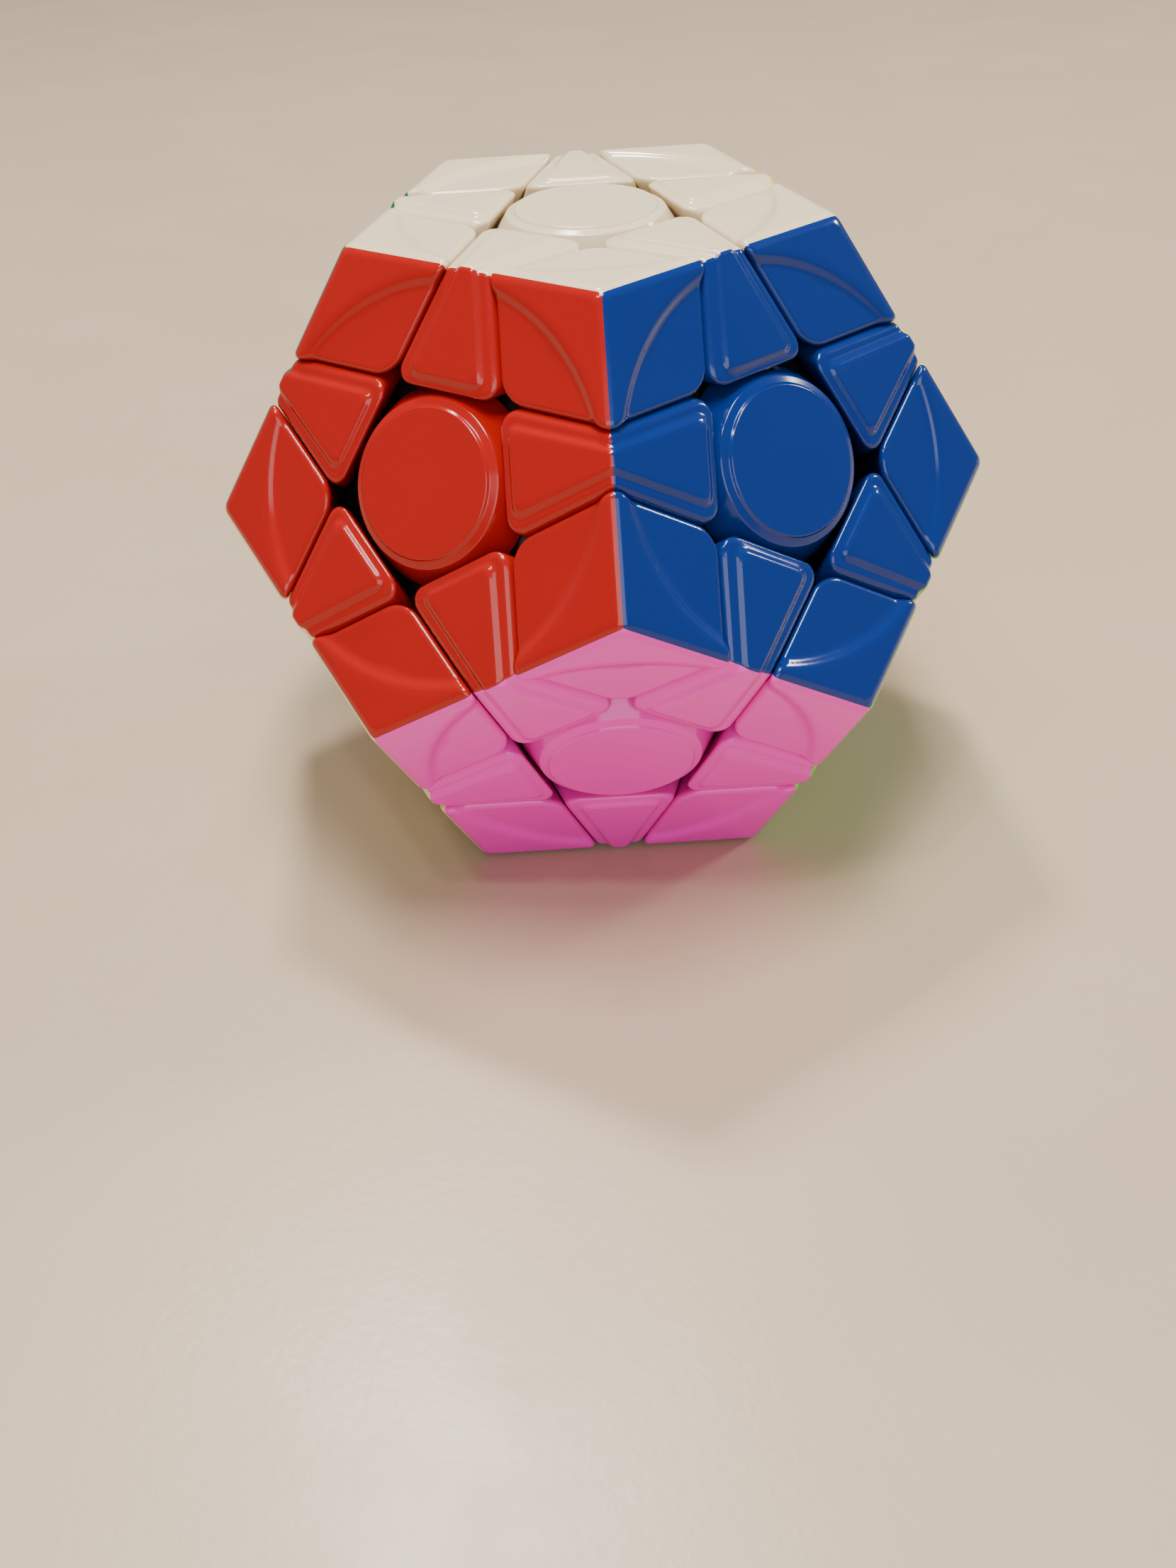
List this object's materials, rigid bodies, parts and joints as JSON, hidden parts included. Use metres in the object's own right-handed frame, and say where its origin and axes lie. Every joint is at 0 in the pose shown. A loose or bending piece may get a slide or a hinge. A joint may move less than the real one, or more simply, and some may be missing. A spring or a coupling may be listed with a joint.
{
  "type": "dodecahedron twisty puzzle",
  "caption": "Dodecahedron twisty puzzle with glossy sculpted tiles: centres, edges and corners held by feet and sprung screws round a core, with turning layers.",
  "frame": {"origin": "middle of the core, where all twelve turning axes meet, which is also the middle of the bounding box", "axes": "+Z out through the white face, up when the puzzle stands on its grey face; -Y out through the middle of the edge where the red and blue faces meet"},
  "size_m": [0.0968, 0.1018, 0.0824],
  "materials": {
    "white_plastic": "glossy moulded plastic, coloured through",
    "blue_plastic": "glossy moulded plastic, coloured through",
    "yellow_plastic": "glossy moulded plastic, coloured through",
    "purple_plastic": "glossy moulded plastic, coloured through",
    "green_plastic": "glossy moulded plastic, coloured through",
    "red_plastic": "glossy moulded plastic, coloured through",
    "pink_plastic": "glossy moulded plastic, coloured through",
    "lime_plastic": "glossy moulded plastic, coloured through",
    "orange_plastic": "glossy moulded plastic, coloured through",
    "light_blue_plastic": "glossy moulded plastic, coloured through",
    "cream_plastic": "glossy moulded plastic, coloured through",
    "grey_plastic": "glossy moulded plastic, coloured through",
    "core_plastic": "plain black moulded plastic with steel screws"
  },
  "bodies": {
    "core": {"edge_blue_yellow": "blue_plastic", "edge_blue_red": "blue_plastic", "edge_blue_lime": "blue_plastic", "edge_yellow_purple": "yellow_plastic", "edge_yellow_lime": "yellow_plastic", "edge_yellow_orange": "yellow_plastic", "edge_purple_green": "purple_plastic", "edge_purple_orange": "purple_plastic", "edge_green_red": "green_plastic", "edge_green_cream": "green_plastic", "edge_red_cream": "red_plastic", "edge_cream_grey": "cream_plastic", "corner_blue_yellow_lime": "blue_plastic", "corner_yellow_purple_orange": "yellow_plastic", "corner_yellow_lime_orange": "yellow_plastic", "corner_green_red_cream": "green_plastic", "block_lime_orange_grey": "lime_plastic", "core_with_screws": "core_plastic"},
    "white_layer": {"centre_white": "white_plastic", "edge_white_blue": "white_plastic", "edge_white_yellow": "white_plastic", "edge_white_purple": "white_plastic", "edge_white_green": "white_plastic", "edge_white_red": "white_plastic", "corner_white_blue_yellow": "white_plastic", "corner_white_blue_red": "white_plastic", "corner_white_yellow_purple": "white_plastic", "corner_white_purple_green": "white_plastic", "corner_white_green_red": "white_plastic"},
    "pink_layer": {"centre_pink": "pink_plastic", "edge_blue_pink": "blue_plastic", "edge_red_pink": "red_plastic", "edge_pink_lime": "pink_plastic", "edge_pink_cream": "pink_plastic", "edge_pink_grey": "pink_plastic", "corner_blue_red_pink": "blue_plastic", "corner_blue_pink_lime": "blue_plastic", "corner_red_pink_cream": "red_plastic", "corner_pink_lime_grey": "pink_plastic", "corner_pink_cream_grey": "pink_plastic"},
    "light_blue_layer": {"centre_light_blue": "light_blue_plastic", "edge_purple_light_blue": "purple_plastic", "edge_green_light_blue": "green_plastic", "edge_orange_light_blue": "orange_plastic", "edge_light_blue_cream": "light_blue_plastic", "edge_light_blue_grey": "light_blue_plastic", "corner_purple_green_light_blue": "purple_plastic", "corner_purple_orange_light_blue": "purple_plastic", "corner_green_light_blue_cream": "green_plastic", "corner_orange_light_blue_grey": "orange_plastic", "corner_light_blue_cream_grey": "light_blue_plastic"},
    "blue_centre": {"centre_blue": "blue_plastic"},
    "yellow_centre": {"centre_yellow": "yellow_plastic"},
    "purple_centre": {"centre_purple": "purple_plastic"},
    "green_centre": {"centre_green": "green_plastic"},
    "red_centre": {"centre_red": "red_plastic"},
    "lime_centre": {"centre_lime": "lime_plastic"},
    "orange_centre": {"centre_orange": "orange_plastic"},
    "cream_centre": {"centre_cream": "cream_plastic"},
    "grey_centre": {"centre_grey": "grey_plastic"}
  },
  "joints": [
    {"name": "white_layer_turn", "type": "hinge", "parent": "core", "child": "white_layer", "pos_m": [0, 0, 0], "axis": [0, 0, 1], "continuous": true},
    {"name": "blue_centre_turn", "type": "hinge", "parent": "core", "child": "blue_centre", "pos_m": [0, 0, 0], "axis": [0.5257, -0.7236, 0.4472], "continuous": true},
    {"name": "yellow_centre_turn", "type": "hinge", "parent": "core", "child": "yellow_centre", "pos_m": [0, 0, 0], "axis": [0.8507, 0.2764, 0.4472], "continuous": true},
    {"name": "purple_centre_turn", "type": "hinge", "parent": "core", "child": "purple_centre", "pos_m": [0, 0, 0], "axis": [0, 0.8944, 0.4472], "continuous": true},
    {"name": "green_centre_turn", "type": "hinge", "parent": "core", "child": "green_centre", "pos_m": [0, 0, 0], "axis": [-0.8507, 0.2764, 0.4472], "continuous": true},
    {"name": "red_centre_turn", "type": "hinge", "parent": "core", "child": "red_centre", "pos_m": [0, 0, 0], "axis": [-0.5257, -0.7236, 0.4472], "continuous": true},
    {"name": "pink_layer_turn", "type": "hinge", "parent": "core", "child": "pink_layer", "pos_m": [0, 0, 0], "axis": [0, -0.8944, -0.4472], "continuous": true},
    {"name": "lime_centre_turn", "type": "hinge", "parent": "core", "child": "lime_centre", "pos_m": [0, 0, 0], "axis": [0.8507, -0.2764, -0.4472], "continuous": true},
    {"name": "orange_centre_turn", "type": "hinge", "parent": "core", "child": "orange_centre", "pos_m": [0, 0, 0], "axis": [0.5257, 0.7236, -0.4472], "continuous": true},
    {"name": "light_blue_layer_turn", "type": "hinge", "parent": "core", "child": "light_blue_layer", "pos_m": [0, 0, 0], "axis": [-0.5257, 0.7236, -0.4472], "continuous": true},
    {"name": "cream_centre_turn", "type": "hinge", "parent": "core", "child": "cream_centre", "pos_m": [0, 0, 0], "axis": [-0.8507, -0.2764, -0.4472], "continuous": true},
    {"name": "grey_centre_turn", "type": "hinge", "parent": "core", "child": "grey_centre", "pos_m": [0, 0, 0], "axis": [0, 0, -1], "continuous": true}
  ]
}
